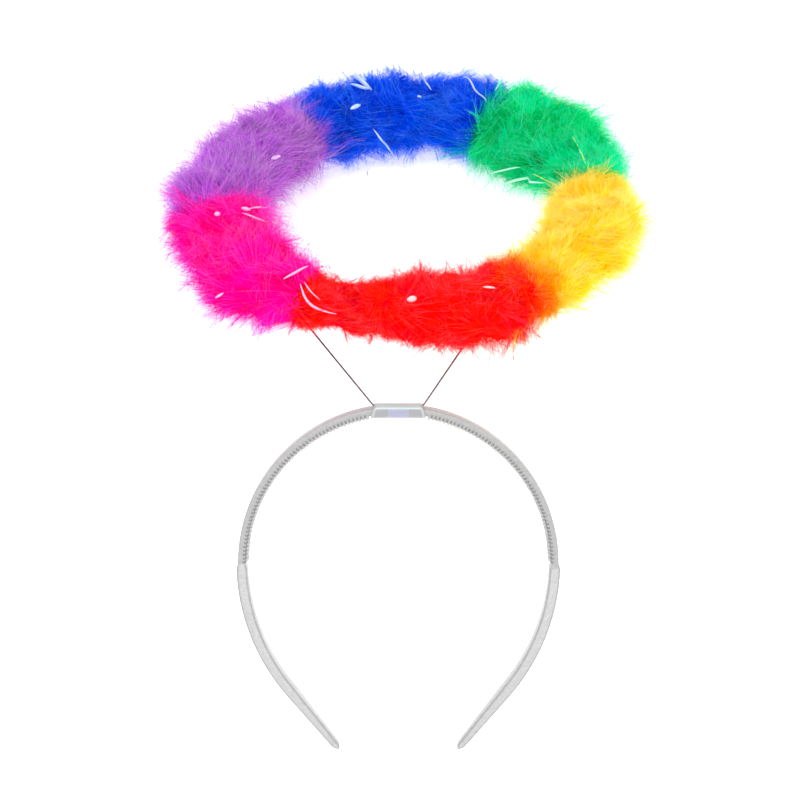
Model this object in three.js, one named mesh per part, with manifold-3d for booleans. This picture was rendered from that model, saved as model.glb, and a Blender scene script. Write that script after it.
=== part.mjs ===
// A halo headband: a clear plastic headband whose top carries a ring of feather trim on two bent wires.
// It lies on its back as it rests by itself, on the two tips of the headband and the back of the halo.
//
// The worn frame has the headband in its XZ plane, with +Z up over the head and +Y to the back.
// Its origin is the centre of the headband's upper arc. The halo frame lies in the ring's own plane,
// with +Z along the ring's axis, and its angles run from the front of the ring towards +X.

import * as THREE from "three";
import { mergeVertices } from "three/addons/utils/BufferGeometryUtils.js";
import Module from "manifold-3d";

// Driving dimensions, in millimetres and degrees
const GAP = 0.3; // clearance between neighbouring pieces

const BAND_RADIUS = 65; // outer edge of the upper arc
const BAND_THICKNESS = 3;
const BAND_WIDTH = 7.5; // from front to back
const BAND_CHAMFER = 0.5;
const LEG_RADIUS = 86; // middle of the leg, where it turns in under the ear
const LEG_TURN = 38;
const LEG_THICKNESS = 4.5; // past the comb
const LEG_STRAIGHT = 30.6;
const TIP_THICKNESS = 3;
const TIP_POINT = 3; // length of the rounded end
const TIP_WIDTH = 5;
const TIP_TAPER = 24; // length over which the width narrows

const TOOTH_DEPTH = 1.4;
const TOOTH_PITCH = 1.6;
const COMB_WIDTH = 5;
const COMB_ROOT = 0.5; // how far the comb's backing runs into the band

const SLEEVE_LENGTH = 22; // along its lower face
const SLEEVE_SLANT = 1.5; // how far each end leans in at the top
const SLEEVE_WALL = 0.4;
const SLEEVE_RIDGE = 1.2; // half the width of the flat over the wire
const FLAT_MARGIN = 0.5; // flat stretch of the band past each end of the sleeve

const WIRE_RADIUS = 0.4;
const RING_WIRE_RADIUS = 0.45;
const WIRE_BEND = 1.2; // length taken by the bend at each end of the sleeve
const RING_RADIUS = 78.5;
const RING_TILT = 26.5; // the back of the ring is the higher side
const RING_RISE = 37; // front of the ring above the top of the band
const RING_BACK = 4; // front of the ring behind the middle of the band
const RING_SIDE = 3.5; // middle of the ring to the right of the band's
const LEFT_EYE_ANGLE = -44; // places round the ring where the legs hook on
const RIGHT_EYE_ANGLE = 26;

const FLUFF_HALF_WIDTH = 25; // of the feathers' section, in the ring's plane
const FLUFF_HALF_HEIGHT = 16; // and across it
const CORE_SHARE = 0.68; // solid backing of the locks, as a share of the section
const LOCK_ROOT_SHARE = 0.4; // where a lock starts, as a share of the section
const LOCK_RADIUS = 8.5;
const LOCK_PITCH = 22; // between rows of locks along the ring
const LOCKS_ROUND = 6; // in a row round the section
const LOCK_REACH = { least: 1.0, most: 1.2 }; // of a lock's tip, as shares of the section
const LOCK_SWEEP = { least: 5, most: 14 }; // how far a tip leans along the ring
const LOCK_SETTLE = 5; // a tip that hangs this close to the floor comes down to it
const LOCK_HANG = 0.5; // fall of a hanging lock, as a share of its length
const LOCK_WAIST = 0.9; // how much fuller than a plain cone a lock is
const LOCK_SCATTER = 0.3; // how unevenly the locks stand round the section

// The six lengths of trim, with the angles where each starts and ends and how full its locks are
const TRIMS = [
  { name: "marabou_red", start: -30, end: 42, fullness: 0.9, colour: 0xe8081c },
  { name: "marabou_yellow", start: 42, end: 97, fullness: 1, colour: 0xfccb0a },
  { name: "marabou_green", start: 97, end: 152, fullness: 1.1, colour: 0x08b866 },
  { name: "marabou_blue", start: 152, end: 216, fullness: 1, colour: 0x0a3fd0 },
  { name: "marabou_purple", start: 216, end: 277, fullness: 1, colour: 0x9b4cc0 },
  { name: "marabou_pink", start: 277, end: 330, fullness: 1.05, colour: 0xf0129a },
];

// Facets
const ARC_STEPS = 16;
const LEG_STEPS = 6;
const STRAIGHT_STEPS = 3;
const TIP_STEPS = 4;
const WIRE_SIDES = 6;
const BEND_STEPS = 6;
const RING_STEPS = 48;
const CORE_SIDES = 8;
const LOCK_SIDES = 4;
const EYE_STEPS = 10;
const POCKET_STEPS = { around: 10, up: 6 };
const TEETH_PER_FACET = 4; // on the back of the comb
const WEDGE_STEP = 20; // degrees
const SECTION_STEP = 5; // degrees
const WELD = 1e-4;

// The angles between which the part comes to rest, in degrees, and how often that range is halved
const REST_RANGE = { least: 30, most: 80 };
const REST_HALVINGS = 40;

const SCATTER = { row: 12.9898, place: 78.233, spread: 43758.5453 };

const { cos, sin, PI } = Math;
const rad = THREE.MathUtils.degToRad;
const lerp = THREE.MathUtils.lerp;

const wasm = await Module();
wasm.setup();

// Solids

function solid(geometry) {
  const bare = geometry.clone();
  bare.deleteAttribute("normal");
  bare.deleteAttribute("uv");
  const merged = mergeVertices(bare, WELD);
  return new wasm.Manifold(
    new wasm.Mesh({
      numProp: 3,
      vertProperties: merged.attributes.position.array,
      triVerts: new Uint32Array(merged.index.array),
    }),
  );
}

function meshOf(name, made, material) {
  const { vertProperties, triVerts } = made.getMesh();
  const geometry = new THREE.BufferGeometry();
  geometry.setAttribute("position", new THREE.BufferAttribute(vertProperties, 3));
  geometry.setIndex(new THREE.BufferAttribute(triVerts, 1));
  geometry.computeVertexNormals();
  const mesh = new THREE.Mesh(geometry, material);
  mesh.name = name;
  return mesh;
}

function outline(points) {
  return new THREE.Shape(points.map(([across, up]) => new THREE.Vector2(across, up)));
}

// An outline of [x, z] points as a plate of the given width, centred on the XZ plane
function plateFront(points, width, chamfer = 0) {
  const geometry = new THREE.ExtrudeGeometry(outline(points), {
    depth: width - 2 * chamfer,
    bevelEnabled: chamfer > 0,
    bevelThickness: chamfer,
    bevelSize: chamfer,
    bevelOffset: -chamfer,
    bevelSegments: 1,
  });
  geometry.translate(0, 0, chamfer - width / 2);
  geometry.rotateX(PI / 2);
  return solid(geometry);
}

// An outline of [y, z] points as a bar of the given length along X, centred on the YZ plane
function barSide(points, length) {
  const geometry = new THREE.ExtrudeGeometry(outline(points), { depth: length, bevelEnabled: false });
  geometry.translate(0, 0, -length / 2);
  const axes = new THREE.Matrix4().makeBasis(
    new THREE.Vector3(0, 1, 0),
    new THREE.Vector3(0, 0, 1),
    new THREE.Vector3(1, 0, 0),
  );
  geometry.applyMatrix4(axes);
  return solid(geometry);
}

function circle(radius, sides) {
  const points = [];
  for (let i = 0; i < sides; i++) {
    const turn = (2 * PI * (i + 0.5)) / sides;
    points.push([radius * cos(turn), radius * sin(turn)]);
  }
  return points;
}

// Sizes that follow from the driving dimensions
const bandInner = BAND_RADIUS - BAND_THICKNESS;
const bandMiddle = BAND_RADIUS - BAND_THICKNESS / 2;
const flatHalf = SLEEVE_LENGTH / 2 + FLAT_MARGIN;
const flatAngle = THREE.MathUtils.radToDeg(Math.asin(flatHalf / BAND_RADIUS));
const flatTop = BAND_RADIUS * cos(rad(flatAngle));
const flatBottom = bandInner * cos(rad(flatAngle));
const wireHeight = flatTop + GAP + WIRE_RADIUS;
const ringCentre = new THREE.Vector3(
  RING_SIDE,
  RING_BACK + RING_RADIUS * cos(rad(RING_TILT)),
  BAND_RADIUS + RING_RISE + RING_RADIUS * sin(rad(RING_TILT)),
);
const wornFromHalo = new THREE.Matrix4().makeRotationX(rad(RING_TILT)).setPosition(ringCentre);
const haloFromWorn = wornFromHalo.clone().invert();

// Headband

// Middle line of the right half, from the top to the tip, with the way out and half the thickness
function bandStations() {
  const stations = [];
  for (let i = 0; i <= ARC_STEPS; i++) {
    const turn = rad(lerp(flatAngle, 90, i / ARC_STEPS));
    const out = { x: sin(turn), z: cos(turn) };
    stations.push({ x: bandMiddle * out.x, z: bandMiddle * out.z, out, half: BAND_THICKNESS / 2 });
  }
  for (let i = 1; i <= LEG_STEPS; i++) {
    const turn = rad((LEG_TURN * i) / LEG_STEPS);
    const out = { x: cos(turn), z: -sin(turn) };
    const x = bandMiddle - LEG_RADIUS * (1 - out.x);
    stations.push({ x, z: LEG_RADIUS * out.z, out, half: LEG_THICKNESS / 2 });
  }
  const { x, z, out } = stations.at(-1);
  for (let i = 1; i <= STRAIGHT_STEPS; i++) {
    const share = i / STRAIGHT_STEPS;
    const along = LEG_STRAIGHT * share;
    const half = lerp(LEG_THICKNESS, TIP_THICKNESS, share) / 2;
    stations.push({ x: x + along * out.z, z: z - along * out.x, out, half });
  }
  return stations;
}

// The rounded end, from the outer side of the tip to its inner side
function tipArc({ x, z, out, half }) {
  const points = [];
  for (let i = 1; i < TIP_STEPS; i++) {
    const turn = (PI * i) / TIP_STEPS;
    const across = half * cos(turn);
    const along = TIP_POINT * sin(turn);
    points.push([x + across * out.x + along * out.z, z + across * out.z - along * out.x]);
  }
  return points;
}

function mirrored(points) {
  return points.map(([x, z]) => [-x, z]).reverse();
}

// One row of comb teeth on the inside of the arc, between two angles from the top
function combOutline(start, end) {
  const pitch = TOOTH_PITCH / bandInner;
  const count = Math.floor(rad(end - start) / pitch);
  const first = rad(start) + (rad(end - start) - count * pitch) / 2;
  const at = (radius, turn) => [radius * sin(turn), radius * cos(turn)];
  const back = [];
  const teeth = [];
  for (let i = 0; i <= count; i++) {
    const turn = first + i * pitch;
    if (i % TEETH_PER_FACET === 0 || i === count) back.push(at(bandInner + COMB_ROOT, turn));
    teeth.push(at(bandInner - GAP / 2, turn));
    if (i < count) teeth.push(at(bandInner - TOOTH_DEPTH, turn + pitch / 2));
  }
  return [...back, ...teeth.reverse()];
}

function headband() {
  const stations = bandStations();
  const outer = stations.map(({ x, z, out, half }) => [x + half * out.x, z + half * out.z]);
  const inner = stations.map(({ x, z, out, half }) => [x - half * out.x, z - half * out.z]);
  const tip = tipArc(stations.at(-1));
  const right = [...outer, ...tip, ...inner.reverse()];
  const around = [...right, ...mirrored(right)];
  const body = plateFront(around, BAND_WIDTH, BAND_CHAMFER);

  const low = stations.at(-1).z - TIP_POINT;
  const side = [
    [TIP_WIDTH / 2 - TIP_POINT / 2, low],
    [TIP_WIDTH / 2, low + TIP_POINT],
    [BAND_WIDTH / 2 + GAP, low + TIP_TAPER],
    [BAND_WIDTH / 2 + GAP, BAND_RADIUS + GAP],
  ];
  const trim = barSide([...side, ...mirrored(side)], 4 * BAND_RADIUS);

  const comb = combOutline(flatAngle, 90);
  const teeth = [comb, mirrored(comb)].map((points) => plateFront(points, COMB_WIDTH));
  return teeth.reduce((whole, row) => whole.add(row), body.intersect(trim));
}

// Clear sleeve

// Section of the sleeve: flat under the band and domed over the wire
function sleeveSection(wall) {
  const half = BAND_WIDTH / 2 + GAP + wall;
  const right = [
    [half - wall, flatBottom - GAP - wall],
    [half, flatBottom - GAP],
    [half, flatTop + GAP],
    [SLEEVE_RIDGE + wall, wireHeight + WIRE_RADIUS + GAP + wall],
  ];
  return [...right, ...mirrored(right)];
}

function clearSleeve() {
  const outer = barSide(sleeveSection(SLEEVE_WALL), SLEEVE_LENGTH);
  const hollow = barSide(sleeveSection(0), 2 * SLEEVE_LENGTH);
  const low = flatBottom - 2 * SLEEVE_WALL - GAP;
  const high = wireHeight + 2 * SLEEVE_WALL + WIRE_RADIUS + GAP;
  const ends = [
    [SLEEVE_LENGTH / 2 - SLEEVE_SLANT, high],
    [SLEEVE_LENGTH / 2, low],
  ];
  return outer.subtract(hollow).intersect(plateFront([...ends, ...mirrored(ends)], 2 * BAND_WIDTH));
}

// Wires

function ringPoint(angle) {
  return new THREE.Vector3(RING_RADIUS * sin(rad(angle)), -RING_RADIUS * cos(rad(angle)), 0);
}

const EYE_RADIUS = RING_WIRE_RADIUS + GAP + WIRE_RADIUS;

// A straight leg, from the top of its bend to its eye, which stands square to the ring wire
function legLine(corner, angle) {
  const eye = ringPoint(angle).applyMatrix4(wornFromHalo);
  const along = new THREE.Vector3(cos(rad(angle)), sin(rad(angle)), 0).transformDirection(wornFromHalo);
  const side = eye.clone().sub(corner);
  side.addScaledVector(along, -side.dot(along)).normalize();
  const to = eye.clone().addScaledVector(side, -EYE_RADIUS);
  const way = to.clone().sub(corner).normalize();
  return new THREE.LineCurve3(corner.clone().addScaledVector(way, WIRE_BEND), to);
}

const cornerHalf = SLEEVE_LENGTH / 2 - SLEEVE_SLANT + WIRE_RADIUS;
const leftCorner = new THREE.Vector3(-cornerHalf, 0, wireHeight);
const rightCorner = new THREE.Vector3(cornerHalf, 0, wireHeight);
const leftLeg = legLine(leftCorner, LEFT_EYE_ANGLE);
const rightLeg = legLine(rightCorner, RIGHT_EYE_ANGLE);

// The bent wire as one line: down the left leg, along under the sleeve and up the right leg
function wireLine() {
  const baseLeft = leftCorner.clone().setX(leftCorner.x + WIRE_BEND);
  const baseRight = rightCorner.clone().setX(rightCorner.x - WIRE_BEND);
  const points = [leftLeg.v2, leftLeg.v1];
  const bend = (from, corner, to) => {
    const curve = new THREE.QuadraticBezierCurve3(from, corner, to);
    points.push(...curve.getPoints(BEND_STEPS).slice(1));
  };
  bend(leftLeg.v1, leftCorner, baseLeft);
  points.push(baseRight);
  bend(baseRight, rightCorner, rightLeg.v1);
  points.push(rightLeg.v2);
  return points;
}

// A curve whose even steps are the points of a line
class PointLine extends THREE.Curve {
  constructor(points) {
    super();
    this.points = points;
  }

  getPoint(share, target = new THREE.Vector3()) {
    const place = share * (this.points.length - 1);
    const i = Math.min(Math.floor(place), this.points.length - 2);
    return target.lerpVectors(this.points[i], this.points[i + 1], place - i);
  }

  getUtoTmapping(share) {
    return share;
  }
}

// A round bar along a line of points, with a flat end square to the line at each end
function bar(points, radius) {
  const settings = { steps: points.length - 1, extrudePath: new PointLine(points) };
  return new THREE.ExtrudeGeometry(outline(circle(radius, WIRE_SIDES)), settings);
}

function eyeRing(angle) {
  const geometry = new THREE.TorusGeometry(EYE_RADIUS, WIRE_RADIUS, WIRE_SIDES, EYE_STEPS);
  geometry.rotateX(PI / 2);
  geometry.rotateZ(rad(angle + 90));
  const { x, y, z } = ringPoint(angle);
  geometry.translate(x, y, z);
  return geometry;
}

function supportWire() {
  const legs = solid(bar(wireLine(), WIRE_RADIUS));
  const eyes = [LEFT_EYE_ANGLE, RIGHT_EYE_ANGLE].map((angle) =>
    solid(eyeRing(angle).applyMatrix4(wornFromHalo)),
  );
  return eyes.reduce((whole, eye) => whole.add(eye), legs);
}

function ringTorus(radius) {
  return new THREE.TorusGeometry(RING_RADIUS, radius, WIRE_SIDES, RING_STEPS);
}

// Rest: the part tips back until the headband and the section of the feathers share one floor

// Height of the lowest of the points once the part has tipped back by an angle
function lowest(points, angle) {
  return Math.min(...points.map(({ y, z }) => z * cos(angle) - y * sin(angle)));
}

function restOf(band) {
  const { vertProperties } = band.getMesh();
  const tips = [];
  for (let i = 0; i < vertProperties.length; i += 3) {
    tips.push(new THREE.Vector3().fromArray(vertProperties, i));
  }
  const fluff = [];
  for (let turn = 0; turn < 360; turn += SECTION_STEP) {
    const across = RING_RADIUS + FLUFF_HALF_WIDTH * cos(rad(turn));
    const point = new THREE.Vector3(0, across, FLUFF_HALF_HEIGHT * sin(rad(turn)));
    fluff.push(point.applyMatrix4(wornFromHalo));
  }
  let less = rad(REST_RANGE.least);
  let more = rad(REST_RANGE.most);
  for (let i = 0; i < REST_HALVINGS; i++) {
    const half = (less + more) / 2;
    if (lowest(tips, half) < lowest(fluff, half)) less = half;
    else more = half;
  }
  return { restAngle: less, floorHeight: lowest(tips, less) };
}

const headbandSolid = headband();
const { restAngle, floorHeight } = restOf(headbandSolid);
const restFromHalo = new THREE.Matrix4().makeRotationX(-restAngle).multiply(wornFromHalo);
const floorUp = new THREE.Vector3(0, 0, 1).transformDirection(restFromHalo.clone().invert());

function heightOverFloor(point) {
  return point.clone().applyMatrix4(restFromHalo).z - floorHeight;
}

// Feathers

function sectionPoint(angle, turn, share) {
  const across = RING_RADIUS + share * FLUFF_HALF_WIDTH * cos(turn);
  const up = share * FLUFF_HALF_HEIGHT * sin(turn);
  return new THREE.Vector3(across * sin(rad(angle)), -across * cos(rad(angle)), up);
}

// The solid backing, all round the ring, hollow where the ring wire runs
function backing() {
  const profile = [];
  for (let i = 0; i <= CORE_SIDES; i++) {
    const turn = (2 * PI * i) / CORE_SIDES;
    const across = RING_RADIUS + CORE_SHARE * FLUFF_HALF_WIDTH * cos(turn);
    profile.push(new THREE.Vector2(across, CORE_SHARE * FLUFF_HALF_HEIGHT * sin(turn)));
  }
  const geometry = new THREE.LatheGeometry(profile, RING_STEPS);
  geometry.rotateX(PI / 2);
  return solid(geometry);
}

// Room for one length of trim: a wedge of the ring, short of its neighbours by half a gap at each end
function wedge({ start, end }) {
  const reach = RING_RADIUS + 2 * FLUFF_HALF_WIDTH;
  const trim = THREE.MathUtils.radToDeg(GAP / 2 / (RING_RADIUS - FLUFF_HALF_WIDTH));
  const points = [[0, 0]];
  const steps = Math.ceil((end - start) / WEDGE_STEP);
  for (let i = 0; i <= steps; i++) {
    const angle = rad(lerp(start + trim, end - trim, i / steps));
    points.push([reach * sin(angle), -reach * cos(angle)]);
  }
  const depth = 4 * FLUFF_HALF_HEIGHT;
  const geometry = new THREE.ExtrudeGeometry(outline(points), { depth, bevelEnabled: false });
  geometry.translate(0, 0, -depth / 2);
  return solid(geometry);
}

// An even scatter between 0 and 1, the same in every build
function scatter(row, place) {
  const value = sin(row * SCATTER.row + place * SCATTER.place) * SCATTER.spread;
  return value - Math.floor(value);
}

// How much longer or shorter a lock gets, so that its tip rests on the floor where it comes near it
function floorStretch(root, tip, sweep) {
  const fall = heightOverFloor(root) - heightOverFloor(tip);
  const drop = heightOverFloor(root) + sweep.dot(floorUp);
  const hangs = fall > LOCK_HANG * tip.distanceTo(root);
  return hangs && drop - fall < LOCK_SETTLE ? drop / fall : 1;
}

// One lock: a cone with a full waist, from its root inside the backing to its tip in the open
function lock(root, tip, sweep) {
  const way = tip.clone().sub(root);
  const length = way.length();
  way.normalize();
  const stretch = floorStretch(root, tip, sweep);
  const geometry = new THREE.ConeGeometry(LOCK_RADIUS, length, LOCK_SIDES, 2);
  geometry.translate(0, length / 2, 0);
  geometry.applyQuaternion(new THREE.Quaternion().setFromUnitVectors(new THREE.Vector3(0, 1, 0), way));
  const position = geometry.attributes.position;
  const point = new THREE.Vector3();
  for (let i = 0; i < position.count; i++) {
    point.fromBufferAttribute(position, i);
    const share = point.dot(way) / length;
    const axis = way.clone().multiplyScalar(share * length);
    const waist = 1 + LOCK_WAIST * share * (1 - share);
    point.sub(axis).multiplyScalar(waist).addScaledVector(axis, stretch);
    point.addScaledVector(sweep, share * share).add(root);
    point.addScaledVector(floorUp, Math.max(0, -heightOverFloor(point)));
    position.setXYZ(i, point.x, point.y, point.z);
  }
  return solid(geometry);
}

// The backing of one length of trim with its locks, fused into one body
function trimBody(trim, core, cuts) {
  const room = wedge(trim);
  const arc = rad(trim.end - trim.start) * RING_RADIUS;
  const rows = Math.round(arc / LOCK_PITCH);
  const locks = [];
  for (let row = 0; row < rows; row++) {
    const angle = lerp(trim.start, trim.end, (row + 0.5) / rows);
    const along = new THREE.Vector3(cos(rad(angle)), sin(rad(angle)), 0);
    for (let place = 0; place < LOCKS_ROUND; place++) {
      const chance = scatter(row + trim.start, place);
      const turn = (2 * PI * (place + (row % 2) / 2 + LOCK_SCATTER * (chance - 0.5))) / LOCKS_ROUND;
      const reach = trim.fullness * lerp(LOCK_REACH.least, LOCK_REACH.most, chance);
      const lean = lerp(LOCK_SWEEP.least, LOCK_SWEEP.most, scatter(place, row + trim.end));
      const sweep = along.clone().multiplyScalar(lean);
      locks.push(lock(sectionPoint(angle, turn, LOCK_ROOT_SHARE), sectionPoint(angle, turn, reach), sweep));
    }
  }
  const whole = locks.reduce((sum, one) => sum.add(one), core);
  return cuts.reduce((left, cut) => left.subtract(cut), whole.intersect(room));
}

// Room for the wires inside the feathers, in the halo frame
function wireCuts() {
  const around = WIRE_RADIUS + GAP;
  const bore = solid(ringTorus(RING_WIRE_RADIUS + GAP));
  const legs = [leftLeg, rightLeg].map(({ v1, v2 }) =>
    solid(bar([v1, v2], around).applyMatrix4(haloFromWorn)),
  );
  const pockets = [LEFT_EYE_ANGLE, RIGHT_EYE_ANGLE].map((angle) => {
    const radius = EYE_RADIUS + around + GAP;
    const geometry = new THREE.SphereGeometry(radius, POCKET_STEPS.around, POCKET_STEPS.up);
    const { x, y, z } = ringPoint(angle);
    geometry.translate(x, y, z);
    return solid(geometry);
  });
  return [bore, ...legs, ...pockets];
}

// Assembly

const clearPlastic = new THREE.MeshStandardMaterial({
  color: 0xdedfe2,
  roughness: 0.25,
  metalness: 0,
  transparent: true,
  opacity: 0.8,
});
const sleevePlastic = new THREE.MeshStandardMaterial({
  color: 0xe6eaf2,
  roughness: 0.15,
  metalness: 0,
  transparent: true,
  opacity: 0.6,
});
const steel = new THREE.MeshStandardMaterial({ color: 0x55565a, roughness: 0.4, metalness: 1 });

const halo = new THREE.Group();
halo.applyMatrix4(wornFromHalo);
halo.add(meshOf("ring_wire", solid(ringTorus(RING_WIRE_RADIUS)), steel));
const core = backing();
const cuts = wireCuts();
for (const trim of TRIMS) {
  const feathers = new THREE.MeshStandardMaterial({ color: trim.colour, roughness: 0.95, metalness: 0 });
  halo.add(meshOf(trim.name, trimBody(trim, core, cuts), feathers));
}

const worn = new THREE.Group();
worn.add(
  meshOf("headband", headbandSolid, clearPlastic),
  meshOf("clear_sleeve", clearSleeve(), sleevePlastic),
  meshOf("support_wire", supportWire(), steel),
  halo,
);
worn.rotation.x = -restAngle;

// The origin is on the floor, in the middle of the part
const extent = new THREE.Box3().setFromObject(worn, true);
const middle = extent.getCenter(new THREE.Vector3());
worn.position.set(-middle.x, -middle.y, -extent.min.z);

const part = new THREE.Group();
part.add(worn);

export default part;
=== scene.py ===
"""The looks of a halo headband: a ring of dyed feather trim on two wires over a clear plastic headband."""

import math

import bpy
import numpy as np
from mathutils import Matrix, Vector


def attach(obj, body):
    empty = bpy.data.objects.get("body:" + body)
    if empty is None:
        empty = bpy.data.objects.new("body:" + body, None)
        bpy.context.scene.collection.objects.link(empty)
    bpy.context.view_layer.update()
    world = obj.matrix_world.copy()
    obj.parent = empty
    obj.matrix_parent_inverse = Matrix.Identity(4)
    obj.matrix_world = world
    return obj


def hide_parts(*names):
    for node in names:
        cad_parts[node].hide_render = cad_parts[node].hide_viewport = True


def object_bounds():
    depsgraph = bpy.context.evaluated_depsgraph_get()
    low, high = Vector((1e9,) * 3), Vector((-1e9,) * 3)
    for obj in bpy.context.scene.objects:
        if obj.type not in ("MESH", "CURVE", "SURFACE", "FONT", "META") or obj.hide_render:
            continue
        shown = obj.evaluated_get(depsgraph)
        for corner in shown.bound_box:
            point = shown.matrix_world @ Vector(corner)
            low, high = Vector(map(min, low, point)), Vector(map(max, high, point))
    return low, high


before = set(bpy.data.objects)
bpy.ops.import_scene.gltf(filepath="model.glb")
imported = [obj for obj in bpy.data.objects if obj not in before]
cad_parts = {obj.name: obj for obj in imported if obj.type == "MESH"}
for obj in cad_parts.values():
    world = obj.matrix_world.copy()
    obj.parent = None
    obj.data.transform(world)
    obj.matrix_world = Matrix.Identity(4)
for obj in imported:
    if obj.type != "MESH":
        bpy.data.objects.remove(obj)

CAD_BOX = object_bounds()
MM = 0.001
UV_NAME = "OFBake"

# Sizes of the headband, in millimetres, as its solids have them
BAND_RADIUS = 65.0
BAND_THICKNESS = 3.0
BAND_WIDTH = 7.5
FLAT_HALF = 11.5  # half the flat stretch at the top
FLAT_TURN = math.asin(FLAT_HALF / BAND_RADIUS)
FLAT_TOP = BAND_RADIUS * math.cos(FLAT_TURN)
LEG_RADIUS = 86.0
LEG_TURN = math.radians(38)
LEG_THICKNESS = 4.5
LEG_STRAIGHT = 30.6
LEG_SWELL = math.radians(1.5)  # turn over which the band thickens past the comb
TIP_THICKNESS = 3.0
TIP_POINT = 3.0
TIP_WIDTH = 5.0
TIP_TAPER = 24.0
ARC_ROUND = 0.5  # radius of the band's edges along its arc and along its legs
LEG_ROUND = 0.8
BEND_BEFORE = 1.0  # the bend from the flat stretch to the arc: millimetres before it, and the turn after it
BEND_AFTER = 0.012

# The comb: half the outlines of a tooth and of the shadow at its root, along the arc and inward
TOOTH_PITCH = 1.6
TOOTH_DEPTH = 1.4
TOOTH = np.array([(-0.66, -0.4), (-0.60, 0.3), (-0.74, 0.7), (-0.60, 1.2), (-0.30, TOOTH_DEPTH)])
# painted shadow: the outline of the dark bar laid between two teeth at their roots
TOOTH_ROOT_SHADOW = np.array([(-0.34, -1.0), (-0.34, 0.25)])
COMB_WIDTH = 5.0
ROOT_SKIN = 0.03  # how far the shadows lie over the sides of the band

# Points in the meshes of the headband and the wires
SECTION_POINTS = 16
ARC_STEPS = 48
LEG_STEPS = 30
TAPER_STEPS = 14
TIP_TURNS = np.radians([15, 30, 45, 60, 72, 82, 89])
DOME_POINTS = 19
FILM_STEPS = 21
WIRE_SIDES = 12
BEND_POINTS = 12
EYE_POINTS = 28
RING_POINTS = 180

# The clear sleeve and the wires, in millimetres; the eyes are in degrees round the ring
FILM_LENGTH = 22.0
FILM_SLANT = 1.5
FILM_WALL = 0.4
FILM_GAP = 0.3  # between the sleeve and the band's sides and underside
FILM_LIFT = 0.25  # from the band's top to the foot of the dome
FILM_DOME = 1.12
FILM_DOME_POWER = 0.8  # under 1 the dome's sides are fuller than round ones
FILM_ROUND = 0.35
FILM_CHAMFER = 0.1
FILM_PAINTED_REFLECTION = (-4.6, 3.8)  # the stretch painted with a lavender reflection
FILM_END = 0.4  # how much of each end is milky
FILM_FOOT = 0.2  # how far the dome's milkiness comes down below the band's top
WIRE_RADIUS = 0.4
RING_WIRE_RADIUS = 0.45
WIRE_GAP = 0.3
WIRE_BEND = 1.2
LEFT_EYE = -44.0
RIGHT_EYE = 26.0
TURNED = np.array([0.3, 0.2, 0.1])  # turns the first side of a bar off its own way

# Section of the feathers round the ring wire, in millimetres
FLUFF_HALF_WIDTH = 25.0
FLUFF_HALF_HEIGHT = 16.0

# The camera, from the photo
CAMERA_RISE = math.radians(11)  # above the headband's own square view
CAMERA_DISTANCE = 0.903
CAMERA_LENS = 100.0
CAMERA_SENSOR = 36.0
CAMERA_NEAR = 0.01
CAMERA_SIDE = 0.8  # the middle of the picture beside and over the middle of the band's arc, in millimetres
CAMERA_UP = 65.8
PHOTO_SIZE = 800  # pixels across and down

# Light and floor: each light's place and size in metres and its power
LIGHTS = {"key": ((-0.25, -0.55, 1.45), 0.9, 15.0), "fill": ((0.8, 0.3, 0.9), 0.9, 5.0)}
LIGHT_TARGET = (0.0, 0.0, 0.05)
WORLD_STRENGTH = 0.95
FLOOR_HALF = 3.0
FLOOR_SHADE = 0.93
FLOOR_GLOW = 0.45


# Frames of the two flat parts

def node_points(node):
    """The vertices of a CAD node, in metres in the row frame."""
    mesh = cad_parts[node].data
    points = np.empty(len(mesh.vertices) * 3)
    mesh.vertices.foreach_get("co", points)
    return points.reshape(-1, 3)


def flat_frame(points):
    """The middle of a flat part, its axes (across, up in its plane and normal) and its points along them."""
    normal = np.linalg.svd(points - points.mean(0))[2][2]
    normal *= np.sign(normal[1])
    across = np.array([1.0, 0.0, 0.0])
    up = np.cross(across, normal)
    up *= np.sign(up[1])
    axes = np.array([across, up, normal])
    spans = points @ axes.T
    middle = (spans.min(0) + spans.max(0)) / 2 @ axes
    return middle, axes, spans


RING_MIDDLE, (ACROSS, RING_BACK, RING_AXIS), ring_spans = flat_frame(node_points("ring_wire"))
RING_RADIUS = np.ptp(ring_spans[:, 0]) / 2 / MM - RING_WIRE_RADIUS
_, (_, BAND_UP, BAND_BACK), band_spans = flat_frame(node_points("headband"))
band_top = band_spans[:, 1].max()
BAND_MIDDLE = (
    (band_spans[:, 0].min() + band_spans[:, 0].max()) / 2 * ACROSS
    + (band_top - FLAT_TOP * MM) * BAND_UP
    + (band_spans[:, 2].min() + band_spans[:, 2].max()) / 2 * BAND_BACK
)


def worn(points):
    """Points given in millimetres across, back and up from the middle of the band's arc, in the row frame."""
    points = np.asarray(points, float) * MM
    return BAND_MIDDLE + points @ np.array([ACROSS, BAND_BACK, BAND_UP])


def unit(vectors):
    return vectors / np.linalg.norm(vectors, axis=-1, keepdims=True)


def ring_axes(angles):
    """The ways out, along and across the ring at angles from its front, in radians."""
    out = np.sin(angles)[..., None] * ACROSS - np.cos(angles)[..., None] * RING_BACK
    along = np.cos(angles)[..., None] * ACROSS + np.sin(angles)[..., None] * RING_BACK
    return out, along, np.broadcast_to(RING_AXIS, out.shape)


# Camera and light

# Square to the headband but for a rise over its own plane: the ways toward the camera and up in the picture
VIEW_TOWARD = BAND_UP * math.sin(CAMERA_RISE) - BAND_BACK * math.cos(CAMERA_RISE)
VIEW_UP = BAND_UP * math.cos(CAMERA_RISE) + BAND_BACK * math.sin(CAMERA_RISE)
VIEW_TARGET = BAND_MIDDLE + CAMERA_SIDE * MM * ACROSS + CAMERA_UP * MM * VIEW_UP
VIEW_PLACE = VIEW_TARGET + CAMERA_DISTANCE * VIEW_TOWARD


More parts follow.
